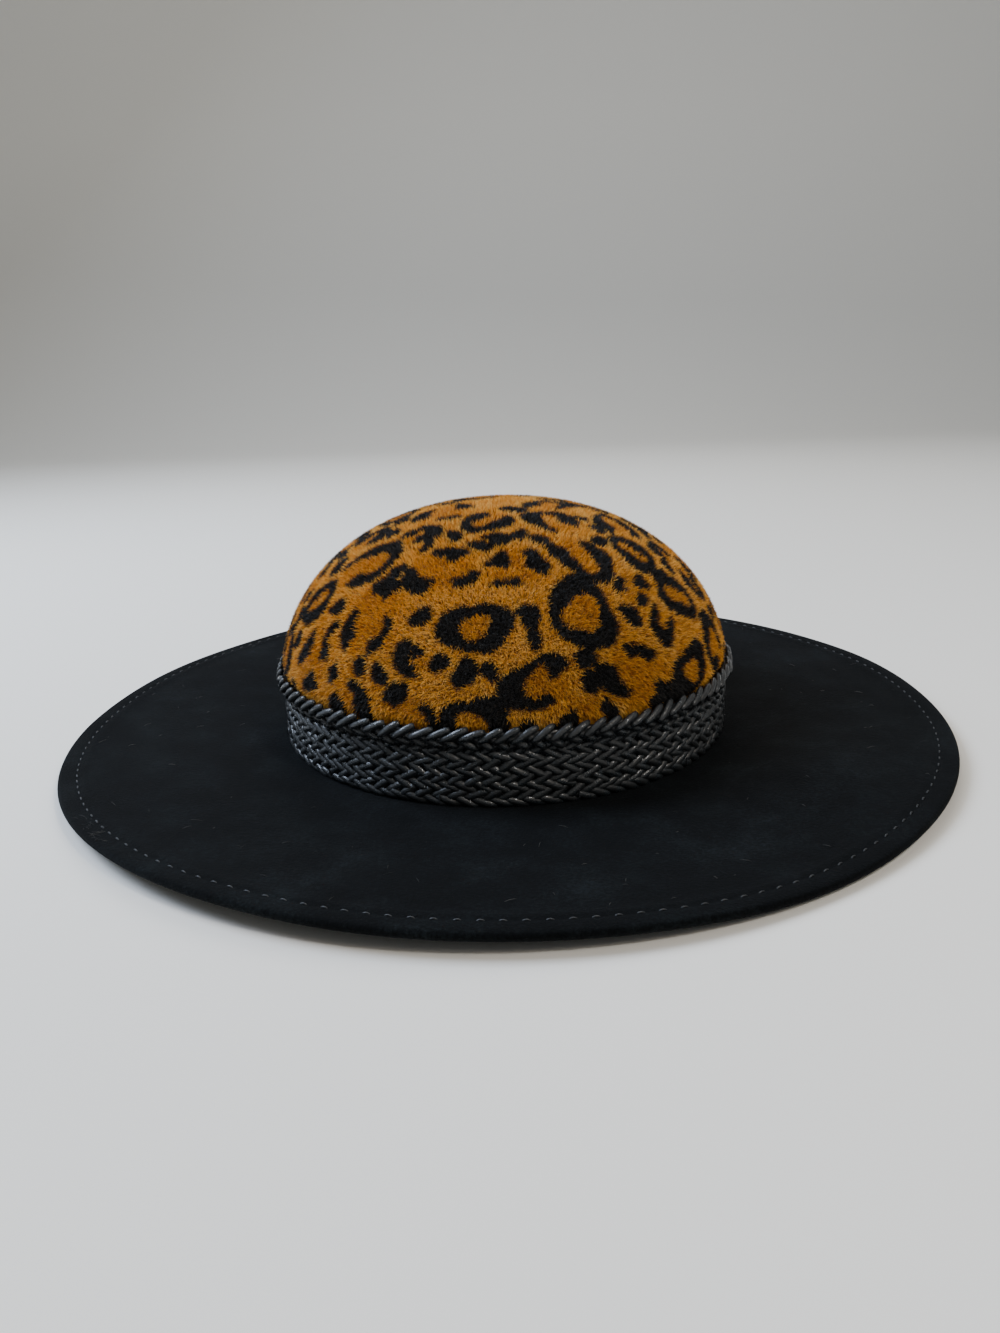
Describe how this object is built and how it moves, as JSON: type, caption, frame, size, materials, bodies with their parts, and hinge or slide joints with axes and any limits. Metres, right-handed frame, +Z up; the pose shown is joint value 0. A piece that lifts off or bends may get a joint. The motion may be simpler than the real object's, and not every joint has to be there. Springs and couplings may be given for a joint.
{
  "type": "wide-brimmed felt hat",
  "caption": "Wide-brimmed felt hat with a domed long-pile felt crown, a wired and stitched brim hem, a knitted cord band and a ribbon sweatband.",
  "frame": {"origin": "under the middle of the hat, on the surface that the flat middle of the brim stands on", "axes": "+Z up through the crown, the front of the hat looks along -Y, +X across the hat, +Y is the long way of the brim"},
  "size_m": [0.363, 0.381, 0.096],
  "materials": {
    "brim_felt": "matt wool felt",
    "wire": "drawn spring steel",
    "crown_felt": "long-pile felt, spotted",
    "band_cord": "waxed cord, half gloss",
    "ribbon": "ribbed grosgrain",
    "thread": "polyester thread"
  },
  "bodies": {
    "root": {"brim": "brim_felt", "brim_wire": "wire", "wire_joiner": "wire", "crown": "crown_felt", "hat_band": "band_cord", "sweatband": "ribbon", "hem_stitches": "thread", "band_tacks": "thread", "sweatband_stitches": "thread"}
  },
  "joints": []
}
